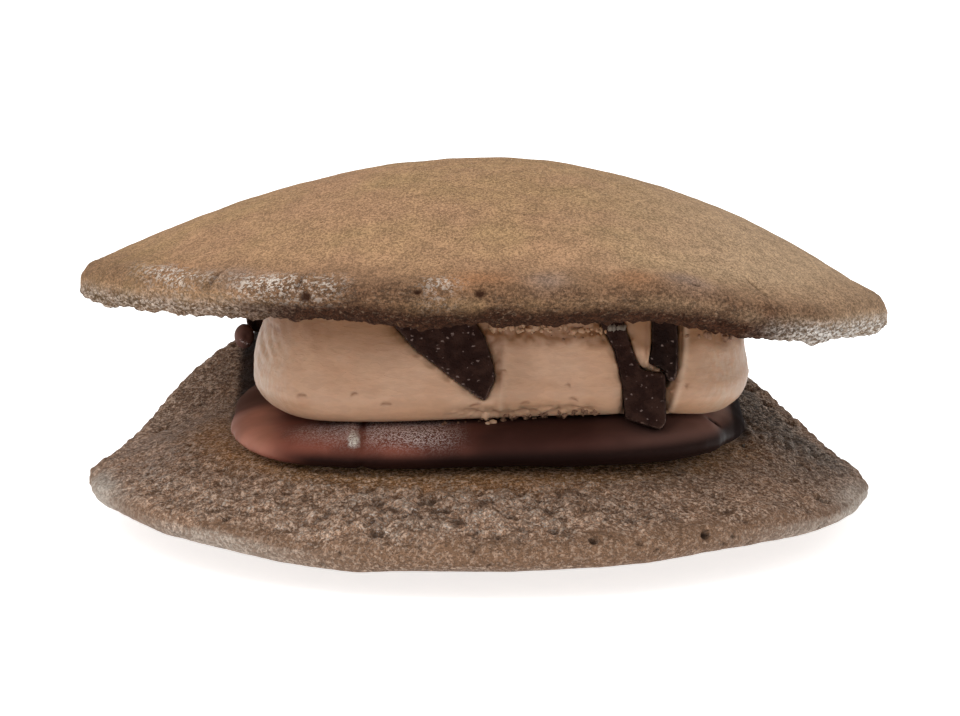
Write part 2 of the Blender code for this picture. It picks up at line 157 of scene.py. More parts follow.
# %% [markdown]
# ## From plain solid to fine mesh
#
# A pancake's surface could be modelled again from nothing, but then it might drift away from its solid. It
# is safer to start from a copy of the solid. The copy is loose triangles, so its doubles are merged and its
# triangles are paired back into quads. Catmull-Clark subdivision rounds the facets off, and a voxel remesh
# lays an even net over the result, which takes relief well. Where the eye goes, the net is split once more.

# %% Helpers for meshes
MERGE_DISTANCE = 2e-6
PAIR_ANGLE = math.radians(60.0)


def merged_quads(node):
    """A connected copy of a CAD node, with its triangles paired back into quads."""
    shape = bmesh.new()
    shape.from_mesh(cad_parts[node].data)
    bmesh.ops.remove_doubles(shape, verts=shape.verts, dist=MERGE_DISTANCE)
    bmesh.ops.join_triangles(
        shape,
        faces=shape.faces,
        angle_face_threshold=PAIR_ANGLE,
        angle_shape_threshold=PAIR_ANGLE,
    )
    return shape


def even_net(shape, rounding, voxel):
    """Rounds a shape's facets by this many levels and lays a net of quads of this size over it."""
    mesh = bpy.data.meshes.new("helper")
    shape.to_mesh(mesh)
    shape.free()
    helper = new_object("helper", mesh)
    if rounding:
        smooth = helper.modifiers.new("round", "SUBSURF")
        smooth.levels = rounding
        smooth.render_levels = rounding
    remesh = helper.modifiers.new("net", "REMESH")
    remesh.mode = "VOXEL"
    remesh.voxel_size = voxel
    bpy.context.view_layer.update()
    graph = bpy.context.evaluated_depsgraph_get()
    even = bpy.data.meshes.new_from_object(helper.evaluated_get(graph))
    bpy.data.objects.remove(helper)
    net = bmesh.new()
    net.from_mesh(even)
    bpy.data.meshes.remove(even)
    return net


def relax(shape, rounds):
    """Smooths a net a little, which takes the last facets out of it."""
    for _ in range(rounds):
        bmesh.ops.smooth_vert(
            shape, verts=shape.verts, factor=0.5, use_axis_x=True, use_axis_y=True, use_axis_z=True
        )


def refine(shape, wanted):
    """Splits each face into four where wanted(middle, normal) is true."""
    shape.normal_update()
    edges = set()
    for face in shape.faces:
        if wanted(face.calc_center_median(), face.normal):
            edges.update(face.edges)
    bmesh.ops.subdivide_edges(shape, edges=list(edges), cuts=1, use_grid_fill=True)


def to_mesh(name, shape):
    bmesh.ops.triangulate(shape, faces=shape.faces)
    bmesh.ops.recalc_face_normals(shape, faces=shape.faces)
    mesh = bpy.data.meshes.new(name)
    shape.to_mesh(mesh)
    shape.free()
    mesh.shade_smooth()
    return mesh


def fine_copy(name, node, rounding, voxel, smoothing, shows=None):
    """A netted copy of a CAD node, with its net split once more where shows(middle, normal) is true."""
    net = even_net(merged_quads(node), rounding, voxel)
    relax(net, smoothing)
    if shows:
        refine(net, shows)
        relax(net, 1)
    return to_mesh(name, net)


def add_piece(name, mesh, slot, *replaced):
    """Links a finished mesh as a piece that rides on the body and stands for CAD nodes."""
    piece = new_object(name, mesh)
    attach(piece, "root")
    if replaced:
        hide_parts(*replaced)
    print(f"{name}: {len(mesh.polygons)} triangles, slot {slot}")
    return piece


# %% [markdown]
# ## Relief and painted masks
#
# Relief could come from displacement in the shader, but then the mesh itself would stay bare. So each point
# is moved along its normal, for all points at once, by a few plain fields: noise of a given size, a soft
# step, and a soft bell. The same fields are stored on the mesh as named masks, so that the shader can paint
# shade into a pore exactly where the mesh has one.

# %% What shows from the front
# How far forward the filling's front is, and how far in front of it a search for the surface starts.
FRONT = -0.0280
STANDOFF = 0.06
SIGHT = Vector((0.0, math.cos(LOOK_DOWN), -math.sin(LOOK_DOWN)))


def tree_of(meshes):
    """A search tree over the faces of some meshes."""
    shape = bmesh.new()
    for mesh in meshes:
        shape.from_mesh(mesh)
    tree = BVHTree.FromBMesh(shape)
    shape.free()
    return tree


def surface_in_front(*meshes):
    """A function that finds what shows at a place across and up in the filling's front."""
    tree = tree_of(meshes)

    def find(across, up):
        return tree.ray_cast(Vector((across, FRONT, up)) - STANDOFF * SIGHT, SIGHT)[0]

    return find

# %% Points and masks


def vectors_of(items, name):
    flat = np.empty(3 * len(items), np.float32)
    items.foreach_get(name, flat)
    return flat.reshape(-1, 3).astype(float)


def points_of(mesh):
    return vectors_of(mesh.vertices, "co")


def normals_of(mesh):
    return vectors_of(mesh.vertex_normals, "vector")


def push(mesh, heights):
    """Moves each point along its normal by its own height."""
    moved = points_of(mesh) + normals_of(mesh) * heights[:, None]
    mesh.vertices.foreach_set("co", moved.astype(np.float32).ravel())
    mesh.update()
    print(f"{mesh.name}: relief from {1000.0 * heights.min():.2f} to {1000.0 * heights.max():.2f} mm")


def paint(mesh, **masks):
    """Stores masks, one number from 0 to 1 for each point, for the shader to read by their names."""
    for name, values in masks.items():
        layer = mesh.attributes.new(name, "FLOAT", "POINT")
        layer.data.foreach_set("value", np.clip(values, 0.0, 1.0).astype(np.float32))

# %% Fields


def lumps(points, size, seed, octaves=1):
    """Smooth noise from about -1 to 1, with features of this size in metres."""
    shift = Vector((seed, 0.7 * seed, -0.3 * seed))
    return np.array([noise.fractal(Vector(p) / size + shift, 1.0, 2.0, octaves) for p in points])


def step(low, high, values):
    share = np.clip((values - low) / (high - low), 0.0, 1.0)
    return share * share * (3.0 - 2.0 * share)


def bell(values, middle, width):
    return np.exp(-(((values - middle) / width) ** 2))


def middle_and_half(box):
    return 0.5 * (box[0] + box[1]), 0.5 * (box[1] - box[0])


def way_out(box, place):
    """Share of the way from a box's middle to its rim, seen from above."""
    middle, half = middle_and_half(box)
    return math.hypot((place.x - middle.x) / half.x, (place.y - middle.y) / half.y)


def around(box, points):
    """Angle from the front towards the right in degrees, and share of the way out, for all points."""
    middle, half = middle_and_half(box)
    across = (points[:, 0] - middle.x) / half.x
    along = (points[:, 1] - middle.y) / half.y
    return np.degrees(np.arctan2(across, -along)), np.hypot(across, along)

# %% Dents and random places


def dents(points, places, radii):
    """Round dents, from 0 outside to 1 in the middle of each."""
    total = np.zeros(len(points))
    for place, radius in zip(places, radii):
        away = np.linalg.norm(points - place, axis=1)
        total = np.maximum(total, np.exp(-((away / radius) ** 2)))
    return total


def holes_at(points, box, holes, allowed):
    """Dents at the allowed points nearest to holes given by angle, share of the way out and radius."""
    middle, half = middle_and_half(box)
    choice = points[allowed]
    found = []
    for turn, reach, _ in holes:
        across = middle.x + half.x * reach * math.sin(math.radians(turn))
        along = middle.y - half.y * reach * math.cos(math.radians(turn))
        found.append(choice[np.argmin(np.hypot(choice[:, 0] - across, choice[:, 1] - along))])
    return dents(points, found, [radius for _, _, radius in holes])


def scattered_places(points, chance, count, seed):
    """Points of the mesh drawn at random, more often where chance is high."""
    draw = np.random.default_rng(seed)
    return points[draw.choice(len(points), size=count, replace=False, p=chance / chance.sum())]


# %% [markdown]
# ## The upper pancake
#
# The outside of a griddled pancake is a thin matt skin: fine-grained, with tiny pores and, near the rim,
# small cracks where it bent. The rim and the underside are open sponge. Sculpting that by hand can't be
# repeated, so fields do it: very low relief on the dome and a rough, lumpy nose below. The rim and the front
# of the dome get the finer net.

# %% Net of the upper pancake
UPPER_VOXEL = 0.00070
upper_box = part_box("upper_pancake")


def upper_shows(middle, normal):
    out = way_out(upper_box, middle)
    return out > 0.91 or (out > 0.78 and normal.z > 0.3 and middle.y < 0.0)


upper_mesh = fine_copy("upper_sponge", "upper_pancake", 2, UPPER_VOXEL, 4, upper_shows)
print("upper pancake:", len(upper_mesh.polygons), "triangles")

# %% Relief of the upper pancake
# Cracks in the rim: angle from the front, start and end of the way out, and width in metres.
RIM_CRACKS = ((-41.0, 0.92, 0.975, 0.00026), (-26.5, 0.93, 0.965, 0.00022), (44.5, 0.89, 0.96, 0.00030))
# Pits in the rim: angle from the front, share of the way out, radius in metres.
RIM_PITS = ((-25.0, 0.985, 0.0006), (-9.0, 0.975, 0.0004), (-0.5, 0.985, 0.0005), (31.0, 0.96, 0.0004))

points = points_of(upper_mesh)
normals = normals_of(upper_mesh)
angle, out = around(upper_box, points)
upward = normals[:, 2]
facing_down = step(0.30, -0.45, upward)
rim = step(0.87, 0.99, out)
under = facing_down * step(0.80, 0.92, out)
grain = lumps(points, 0.0016, 5.0, 3)
coarse = lumps(points, 0.0042, 9.0, 2)
crumb = np.abs(lumps(points, 0.0013, 15.0, 2))
streak = lumps(points * (1.0, 1.0, 2.5), 0.0030, 19.0, 2)

upper_middle, upper_half = middle_and_half(upper_box)
from_middle = points - np.array(upper_middle)
crack = np.zeros(len(points))
for crack_angle, first, last, width in RIM_CRACKS:
    turn = math.radians(crack_angle)
    side = from_middle[:, 0] * math.cos(turn) + from_middle[:, 1] * math.sin(turn)
    line = bell(side + 0.0004 * coarse, 0.0, width) * step(first - 0.02, first + 0.01, out)
    line *= step(last + 0.02, last - 0.01, out) * step(30.0, 20.0, np.abs(angle - crack_angle))
    crack = np.maximum(crack, line * step(-0.4, 0.2, upward))
pits = holes_at(points, upper_box, RIM_PITS, upward > 0.1)

heights = 0.00010 * coarse + 0.00004 * grain
heights += rim * (0.00014 * grain + 0.00022 * lumps(points, 0.0032, 23.0, 1))
heights += under * (0.00060 * (crumb - 0.25) + 0.00025 * streak)
heights += under * 0.00070 * bell(angle, -11.0, 5.0)
heights -= 0.00055 * crack + 0.00070 * pits
push(upper_mesh, heights)

# %% Masks of the upper pancake
across = from_middle[:, 0] / upper_half.x + 0.04 * streak
bare = np.maximum(0.6 * step(0.42, 0.75, -across), 0.8 * step(0.60, 0.84, across))
middle_part = step(-44.0, -22.0, angle) * step(62.0, 40.0, angle)
# On the right the rim's colours start further out.
late = out - 0.018 * step(-20.0, 0.0, angle)
warm = step(0.83, 0.965, late + 0.02 * coarse) * (0.55 + 0.45 * middle_part)
edge = step(0.92, 0.985, late + 0.02 * coarse) * (0.5 + 0.5 * middle_part)
blush = bell(angle, -1.0, 5.0) + 0.8 * bell(angle, 22.0, 4.0) + 0.6 * bell(angle, -52.0, 5.0)
mauve = bell(angle, 9.0, 3.0) + bell(angle, 30.0, 4.0) + 0.7 * bell(angle, -38.0, 4.0)
gloss = 1.3 * bell(angle, -31.0, 5.0) + bell(angle, -50.0, 8.0) + 0.6 * bell(angle, -22.0, 2.5)
gloss += 0.6 * bell(angle, -6.0, 2.5)
paint(
    upper_mesh,
    # Painted shade in the pits and cracks, which are also dented in the mesh.
    pore=np.maximum(0.8 * crack, step(0.15, 0.55, pits)),
    warm=warm * step(0.0, 0.5, upward),
    rim=step(0.935, 0.995, late + 0.012 * coarse) * (0.35 + 0.65 * middle_part),
    # Painted shade: away from the tips, the underside goes nearly black over the rim's own dark brown.
    under=under * (1.0 - 0.9 * bare),
    # Painted light: the bare underside at the tips goes pale, as lit by the bright floor.
    frost=0.85 * under * bare,
    grey=step(0.05, 0.75, across),
    edge=np.maximum(edge, under),
    blush=blush * bell(out + 0.01 * coarse, 0.945, 0.032) * step(0.2, 0.5, upward),
    mauve=mauve * bell(out + 0.015 * coarse, 0.945, 0.035) * step(0.2, 0.5, upward),
    # Painted highlight: glints of light on the rim's left half, where it is glossier too.
    gloss=gloss * bell(out + 0.01 * coarse, 0.958, 0.024) * step(-0.35, 0.15, upward),
)
add_piece("upper_sponge", upper_mesh, "upper_sponge", "upper_pancake")

# %% [markdown]
# ## The lower pancake
#
# Its browned skin faces down, so what shows is the sponge side: moist, full of small holes and lumps, glossy
# at the front where the batter ran thick, and wrinkled at the right where it bends up. Towards the rim it is
# smoother. Cutting each hole with a Boolean would be slow and too crisp, so holes are soft dents, and only
# the inner face and the rim, where they are, get the finer net.

# %% Net of the lower pancake
LOWER_VOXEL = 0.00068
lower_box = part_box("lower_pancake")


def lower_shows(middle, normal):
    out = way_out(lower_box, middle)
    return (out > 0.95 and middle.y < 0.010) or (out > 0.60 and normal.z > 0.0)


lower_mesh = fine_copy("lower_sponge", "lower_pancake", 2, LOWER_VOXEL, 4, lower_shows)
print("lower pancake:", len(lower_mesh.polygons), "triangles")

# %% Relief of the lower pancake
# Holes in the sponge that stand out: angle from the front, share of the way out, radius in metres.
BIG_HOLES = (
    (-112.0, 0.89, 0.0009), (-79.0, 0.74, 0.0007), (-39.0, 0.955, 0.0007),
    (11.0, 0.95, 0.0006), (16.0, 0.99, 0.0005), (23.0, 0.92, 0.0006),
    (33.0, 1.00, 0.0006), (64.0, 0.95, 0.0009), (76.0, 0.84, 0.0008),
    (101.0, 0.92, 0.0007), (119.0, 0.94, 0.0007), (124.0, 0.92, 0.0007),
    (129.0, 0.92, 0.0007),
)

points = points_of(lower_mesh)
normals = normals_of(lower_mesh)
angle, out = around(lower_box, points)
upward = normals[:, 2]
inner = step(0.1, 0.5, upward)
grain = lumps(points, 0.0012, 35.0, 3)
coarse = lumps(points, 0.0040, 39.0, 2)
coral = lumps(points, 0.0015, 45.0, 3)
fine = lumps(points, 0.00085, 49.0, 2)

x, y, _ = points.T
# Painted shadow in the gaps beside the filling, at its left and its right.
gap = step(-0.0305, -0.0290, x) * step(-0.0240, -0.0258, x) * step(0.0000, 0.0060, y)
gap = np.maximum(gap, step(0.0322, 0.0312, x) * step(0.0270, 0.0285, x) * step(-0.0120, 0.0000, y)) * inner
front = np.clip(bell(angle, -6.0, 36.0) + 0.45 * bell(angle, -62.0, 24.0), 0.0, 1.0)
ring = step(0.68, 0.76, out + 0.03 * coarse) * step(1.00, 0.93, out + 0.02 * coarse)
wet = ring * front * inner
fold_side = bell(angle, 98.0, 26.0) * step(0.62, 0.70, out) * step(0.97, 0.86, out) * inner
folds = np.sin(2.0 * math.pi * (out * 28.0 + 0.9 * coarse)) * fold_side
groove = bell(angle + 3.0 * coarse, -46.0, 1.6) * step(0.93, 0.97, out) * step(0.7, 0.3, np.abs(upward))

big_holes = holes_at(points, lower_box, BIG_HOLES, upward > 0.0)
chance = np.where(out > 0.64, inner + 0.5 * step(0.9, 1.0, out), 0.0) * (0.4 + step(0.0, 40.0, angle))
small_places = scattered_places(points, chance, 170, 7)
small_radii = np.random.default_rng(8).uniform(0.00026, 0.00050, len(small_places))
small_holes = dents(points, small_places, small_radii)

heights = 0.00010 * coarse + inner * step(0.60, 0.70, out) * (0.00016 * grain + 0.00010 * fine)
heights += wet * (0.00058 * coral + 0.00032 * coarse + 0.00030 * fine)
heights += 0.00022 * folds - 0.00050 * groove + 0.00006 * grain * step(0.9, 1.0, out)
heights -= 0.00100 * step(0.1, 0.7, big_holes) + 0.00036 * small_holes
push(lower_mesh, heights)

# %% Masks of the lower pancake
# Painted light: the underside near the tips goes pale, as lit by the bright floor.
frost = 0.50 * bell(angle, 58.0, 14.0) + 0.60 * bell(angle, -40.0, 14.0) + bell(angle, 84.0, 14.0)
frost *= step(0.55, 0.05, upward)
frost += bell(angle, -75.0, 9.0) + 0.8 * bell(angle, 75.0, 9.0)
paint(
    lower_mesh,
    # Painted shade in the holes and in the hollows between lumps, and painted light on the crests.
    pore=np.maximum(step(0.2, 0.6, big_holes), 0.8 * small_holes**1.5),
    hollow=wet * step(-0.10, -0.45, coral),
    crest=wet * step(0.00, 0.45, coral),
    gap=gap,
    wet=wet,
    amber=inner * step(0.80, 0.68, out + 0.03 * coarse) * step(125.0, 80.0, np.abs(angle)),
    band=step(0.95, 0.99, out + 0.02 * coarse),
    back=inner * step(58.0, 95.0, angle) * step(0.99, 0.88, out),
    under=step(0.0, -0.5, upward),
    frost=frost * step(0.925, 0.965, out + 0.01 * coarse),
)
add_piece("lower_sponge", lower_mesh, "lower_sponge", "lower_pancake")

# %% [markdown]
# ## The paste and its bead
#
# Sweet paste is dense and smooth, so its copy only gets slow waves, a narrow dent where a spatula pressed it,
# and a small pit near its right end. Masks do the rest: redder on the left with painted light from that side
# and a painted reflection at its outer edge, dark in the middle, greyer at the right with a painted highlight
# on its knob, and painted shadow at its foot, in its pit and where the cream shades it. A sugary sparkle of
# painted highlight runs along the shoulder and is brightest beside the dent. The bead that was squeezed out
# behind is a ball, pressed out of round into its solid's box, with a painted highlight along its crease.

# %% Net and relief of the paste
PASTE_VOXEL = 0.00055
DENT_PLACE = -0.0133
# The pit's place across and up.
PIT_PLACE = (0.0269, 0.0172)
paste_mesh = fine_copy("glossy_paste", "paste_layer", 0, PASTE_VOXEL, 14)
points = points_of(paste_mesh)
_, out = around(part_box("paste_layer"), points)
x, y, z = points.T
shoulder = step(0.80, 0.95, out)
front = step(-0.0180, -0.0240, y)
pit = dents(points, [surface_in_front(paste_mesh)(*PIT_PLACE)], [0.0008])
heights = 0.00016 * lumps(points, 0.0070, 55.0, 2) * shoulder
heights -= 0.00030 * bell(x, DENT_PLACE, 0.0006) * front
heights += 0.00025 * bell(x, DENT_PLACE - 0.0011, 0.0007) * front * bell(z, 0.0154, 0.0012)
heights -= 0.00060 * pit
push(paste_mesh, heights)

# %% Masks of the paste
# Painted highlight: a sparkling band along the shoulder and a bright spot beside the dent.
band = step(-0.0255, -0.0195, x) * step(-0.0005, -0.0070, x) * bell(z, 0.0161, 0.0010)
spot = bell(x, DENT_PLACE - 0.0010, 0.0006) * bell(z, 0.0151, 0.0006)
outermost = step(-0.0275, -0.0288, x)
# Painted reflection of the bright surroundings on the outer left edge, over a rosier tone.
rosy = step(-0.0215, -0.0262, x) * step(0.0112, 0.0138, z) * np.maximum(step(0.0172, 0.0156, z), outermost)
# Painted shadow along the foot, where the paste meets the sponge.
low = step(0.0007, -0.0007, z - 0.0137 - 0.035 * (x + 0.0170))
left_top = 0.8 * step(-0.0215, -0.0245, x) * step(-0.0100, -0.0020, y)
paint(
    paste_mesh,
    sheen=band * (1.0 - bell(x, DENT_PLACE, 0.0005)) * front,
    spot=spot * front,
    # Painted light on the left over a redder tone, a painted reflection at the outer edge and a painted
    # highlight on the knob; painted shadow at the foot, in the pit and where the cream shades the paste.
    left=step(0.0030, -0.0110, x),
    far_left=rosy,
    knob=step(0.0262, 0.0274, x) * step(0.0150, 0.0162, z),
    right=step(0.0100, 0.0260, x),
    foot=low * step(-0.0260, -0.0190, x),
    shaded=np.maximum(left_top, step(0.0289, 0.0296, x)),
    pore=step(0.1, 0.5, pit),
)
add_piece("glossy_paste", paste_mesh, "paste", "paste_layer")

# %% Bead
bead_middle, bead_half = middle_and_half(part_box("paste_bead"))
bead_shape = bmesh.new()
bmesh.ops.create_icosphere(bead_shape, subdivisions=5, radius=1.0)
for vert in bead_shape.verts:
    dimple = bell(vert.co.z, 0.15, 0.45) * bell(vert.co.x, 0.45, 0.45) * max(0.0, -vert.co.y)
    vert.co *= 0.96 - 0.20 * dimple + 0.03 * noise.noise(1.5 * vert.co)
    vert.co = bead_middle + Vector(a * b for a, b in zip(vert.co, bead_half))
bead_mesh = to_mesh("paste_bead_drop", bead_shape)
points = points_of(bead_mesh)
across, along, up = ((points - np.array(bead_middle)) / np.array(bead_half)).T
# Painted highlight along the bead's crease.
lip = bell(up + 0.30 + 0.45 * across, 0.0, 0.09) * step(-0.45, -0.2, across) * step(0.2, 0.7, -along)
paint(bead_mesh, sheen=lip, right=np.full(len(points), 0.80))
add_piece("paste_bead_drop", bead_mesh, "paste", "paste_bead")

# %% [markdown]
# ## The cream
#
# Cocoa cream was spread with a palette knife, so its side is satin smooth with a few drag marks, a seam where
# two strokes meet, and a crumbly lower edge where it tore off the paste. Its left end shows the knife's fan
# of wrinkles. A fresh block of cream would need its pockets cut again, so the net starts from the solid,
# which has them. Only the front, where small nicks show, gets the finer net. Round each piece of chocolate
# the cream swells into a lip, and it bulges low down at both ends.

# %% Net of the cream
CREAM_VOXEL = 0.00044
cream_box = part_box("cream_block")


def cream_shows(middle, normal):
    return middle.y < -0.0200


cream_mesh = fine_copy("cocoa_cream", "cream_block", 0, CREAM_VOXEL, 4, cream_shows)
print("cream:", len(cream_mesh.polygons), "triangles")

# %% Relief of the cream
# Nicks in millimetres: place across and up, half length, and slope in degrees.
NICKS = (
    (10.0, 21.6, 0.3, -30.0), (10.6, 19.9, 0.5, -20.0), (5.1, 19.5, 0.5, 5.0),
    (-0.6, 19.2, 0.7, 15.0), (2.6, 23.2, 0.4, 0.0), (23.3, 21.2, 0.25, 60.0),
    (-20.1, 19.4, 0.5, 8.0), (-14.3, 20.2, 0.4, 20.0), (-23.6, 25.8, 0.8, 0.0),
    (-25.4, 24.8, 0.2, 30.0), (-10.6, 19.2, 0.6, 0.0),
)
LIP = 0.00020
LIP_REACH = 0.00065
SHARDS = [name for name in sorted(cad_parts) if name.startswith("chocolate")]


def cream_top(across):
    """Height at which the cream goes out of sight behind the upper rim."""
    return 0.0279 - 0.045 * across


def beside_chocolate(points):
    """1 on the cream next to a chocolate piece, 0 away from it."""
    tree = tree_of(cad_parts[name].data for name in SHARDS)
    away = [tree.find_nearest(Vector(point), LIP_REACH)[3] for point in points]
    return step(LIP_REACH, 0.5 * LIP_REACH, np.array([LIP_REACH if a is None else a for a in away]))


points = points_of(cream_mesh)
normals = normals_of(cream_mesh)
x, y, z = points.T
side = step(0.7, 0.3, np.abs(normals[:, 2]))
front = step(0.2, 0.7, -normals[:, 1])
left_end = step(-0.0200, -0.0250, x) * step(0.0268, 0.0245, z)
slow = lumps(points, 0.0030, 61.0)
small = lumps(points, 0.0011, 65.0, 2)
wrinkles = np.sin(2.0 * math.pi * ((0.88 * x + 0.48 * z) / 0.0011 + 0.7 * slow)) * step(-0.2, 0.4, slow + 0.2)
beside = x - 0.05 * (z - 0.0200)
seam = bell(beside, 0.0024, 0.0004) * front
rough_strip = step(0.0002, 0.0008, beside) * step(0.0028, 0.0022, beside)
rough_strip *= step(0.0205, 0.0225, z) * front
ridge_place = 0.0233 - 25.0 * (0.0267 - z) ** 2
ridge = bell(x, ridge_place, 0.00035) * front
smeared = step(-0.0017, -0.0012, x - ridge_place) * step(-0.0001, -0.0006, x - ridge_place) * front
smeared = np.maximum(smeared, bell(x, 0.0190, 0.0004) * step(0.0238, 0.0250, z) * front)
foot_line = z - (cream_box[0].z + 0.0016 + 0.04 * x)
torn = step(0.0024, 0.0004, foot_line) * step(-0.0060, -0.0010, x) * step(0.0150, 0.0115, x) * front
below_rim = z - cream_top(x)
torn_top = step(-0.0020, -0.0006, below_rim) * step(0.0000, 0.0010, x) * step(0.0150, 0.0135, x) * front
nick = np.zeros(len(points))
for across, up, half_length, slope in NICKS:
    turn = math.radians(slope)
    dx, dz = 1000.0 * x - across, 1000.0 * z - up
    along = dx * math.cos(turn) + dz * math.sin(turn)
    off = dz * math.cos(turn) - dx * math.sin(turn) + 0.12 * (along / half_length) ** 2
    line = bell(off, 0.0, 0.15) * step(half_length + 0.2, half_length - 0.2, np.abs(along))
    nick = np.maximum(nick, line * step(0.0, 0.3, -normals[:, 1]))
heights = 0.00014 * lumps(points, 0.0060, 63.0, 2) * side + 0.00005 * lumps(points, 0.0018, 64.0, 2) * side
heights += 0.00007 * wrinkles * left_end * side
heights += 0.00018 * seam + 0.00020 * ridge - 0.00008 * nick + 0.00010 * rough_strip * small
heights += torn * (0.00040 * small - 0.00045) + 0.00045 * torn_top * small - 0.00012 * smeared
away = x - 0.5 * (cream_box[0].x + cream_box[1].x)
up = z - cream_box[0].z
heights += LIP * beside_chocolate(points)
heights += 0.00090 * step(0.0170, 0.0260, away) * bell(up, 0.0026, 0.0024)
heights += 0.00060 * step(-0.0170, -0.0260, away) * bell(up, 0.0050, 0.0040)
push(cream_mesh, heights)

# %% Masks of the cream
stains = step(-0.0150, -0.0200, x) * step(-0.0036, -0.0020, below_rim)
stains *= step(-0.1, 0.4, lumps(points, 0.0014, 66.0, 2))
crumbly = np.maximum(torn, torn_top) * step(0.35, -0.25, small)
strip = rough_strip * (0.6 + 0.4 * step(-0.20, 0.15, small))
depth = 0.0024 + 0.0038 * step(0.0000, -0.0120, x)
beside_slab = step(0.0010, 0.0025, x) * step(0.0075, 0.0040, x)
paint(
    cream_mesh,
    # Smears, stains and crumbly edges, and painted shade in the nicks.
    smear=np.maximum.reduce([0.8 * smeared, nick, 0.6 * crumbly, strip, 0.4 * stains]),
    shade=step(-depth, -0.0008, below_rim + 0.0007 * slow),
    sides=step(0.0180, 0.0240, x) + 0.45 * step(-0.0050, -0.0150, x) + 0.9 * beside_slab,
    # Painted highlight along the ridge and the seam.
    raised=np.maximum(ridge, 0.5 * seam),
    left_end=left_end,
    right_end=step(0.0235, 0.0275, x) * step(0.0262, 0.0240, z),
)
add_piece("cocoa_cream", cream_mesh, "cream", "cream_block")

# %% [markdown]
# ## The chocolate pieces
#
# Snapped chocolate has crisp but chipped edges and slightly uneven faces. A bevel would make them all alike,
# so each copy of a solid gets an even net and low relief. It is grown a little, into the lip of the cream,
# which then grips it all round, as it does when a piece is pressed in. The front edges get a painted
# highlight, lightest low down, and the block is painted darker with painted shade.

# %% Chocolate
SHARD_VOXEL = 0.00018
SHARD_GROWTH = 0.00014


def snapped_piece(node, seed):
    shape = bmesh.new()
    shape.from_mesh(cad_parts[node].data)
    bmesh.ops.remove_doubles(shape, verts=shape.verts, dist=MERGE_DISTANCE)
    net = even_net(shape, 0, SHARD_VOXEL)
    relax(net, 2)
    mesh = to_mesh(node + "_snapped", net)
    points = points_of(mesh)
    forward = -normals_of(mesh)[:, 1]
    low = step(points[:, 2].min() + 0.0030, points[:, 2].min() + 0.0010, points[:, 2])
    heights = 0.00007 * lumps(points, 0.0009, seed, 3) + 0.00010 * lumps(points, 0.0035, seed + 5.0)
    push(mesh, heights + SHARD_GROWTH)
    # Painted highlight on the front edges, lightest low down.
    worn = step(0.1, 0.4, forward) * step(0.88, 0.70, forward) * (0.15 + 0.85 * low)
    # Painted shade makes the block darker than the other pieces.
    paint(mesh, worn=worn, deep=np.full(len(points), float(node == "chocolate_block")))
    return add_piece(node + "_snapped", mesh, "chocolate", node)


chocolate_pieces = [snapped_piece(name, 71.0 + 3.0 * number) for number, name in enumerate(SHARDS)]

# %% [markdown]
# ## Crumbs and drips
#
# A filled pancake is never clean. Lumps of torn cream cling under the rim, brown crumbs hang over the edge of
# the paste round one short drip, a bare crumb of sponge hangs beside the slab, and a few specks stick to the
# right end of the paste. Particles would be lost when the model is saved for others, so each is a real ball
# of a few dozen faces, squashed, roughened, and half sunk into the surface that is seen behind it.

# %% Helpers for crumbs
crumb_random = random.Random(12)


def add_crumb(shape, place, radius, form=None):
    """One rough ball, of random form unless it is given as its width, depth and height."""
    ball = bmesh.ops.create_icosphere(shape, subdivisions=2, radius=1.0)["verts"]
    form = form or [crumb_random.uniform(0.6, 1.5) for _ in range(3)]
    shift = Vector([crumb_random.uniform(0.0, 50.0) for _ in range(3)])
    middle = place + 0.4 * radius * SIGHT
    for vert in ball:
        rough = 1.0 + 0.6 * noise.noise(1.8 * vert.co + shift)
        vert.co = middle + Vector(radius * rough * a * b for a, b in zip(vert.co, form))


def add_row(shape, find, first, last, count, height, spread, biggest):
    """Crumbs between two places across, round a height that is given for each place."""
    for _ in range(count):
        across = crumb_random.uniform(first, last)
        place = find(across, height(across) + crumb_random.uniform(-spread, spread))
        if place:
            add_crumb(shape, place, biggest * crumb_random.uniform(0.45, 1.0))


def cream_foot(across):
    """Height of the cream's lower edge on the paste."""
    return 0.0174 + 0.070 * across


# %% Crumbs
shown = [cream_mesh, paste_mesh, lower_mesh] + [piece.data for piece in chocolate_pieces]
front_of_filling = surface_in_front(*shown)

# The drip: place across, height and radius of its lumps.
DRIP = (
    (0.0007, 0.0181, 0.00060),
    (0.0011, 0.0175, 0.00060),
    (0.0015, 0.0170, 0.00045),
    (0.0009, 0.0169, 0.00030),
)

shape = bmesh.new()
add_row(shape, front_of_filling, 0.0012, 0.0142, 48, lambda a: cream_top(a) + 0.0003, 0.0004, 0.00040)
for across, up, radius in DRIP:
    add_crumb(shape, front_of_filling(across, up), radius, (1.0, 0.6, 1.1))
cream_lumps = add_piece("cream_lumps", to_mesh("cream_lumps", shape), "cream")
paint(cream_lumps.data, shade=0.60 * step(0.0200, 0.0240, points_of(cream_lumps.data)[:, 2]))

shape = bmesh.new()
add_row(shape, front_of_filling, -0.0050, 0.0020, 14, cream_foot, 0.00030, 0.00028)
add_row(shape, front_of_filling, 0.0020, 0.0132, 44, cream_foot, 0.00040, 0.00036)
add_row(shape, front_of_filling, 0.0010, 0.0145, 8, lambda a: cream_top(a) - 0.0004, 0.0005, 0.00022)
add_row(shape, front_of_filling, 0.0225, 0.0290, 9, lambda a: cream_top(a) + 0.0002, 0.0003, 0.00040)
brown_crumbs = add_piece("brown_crumbs", to_mesh("brown_crumbs", shape), "cream")

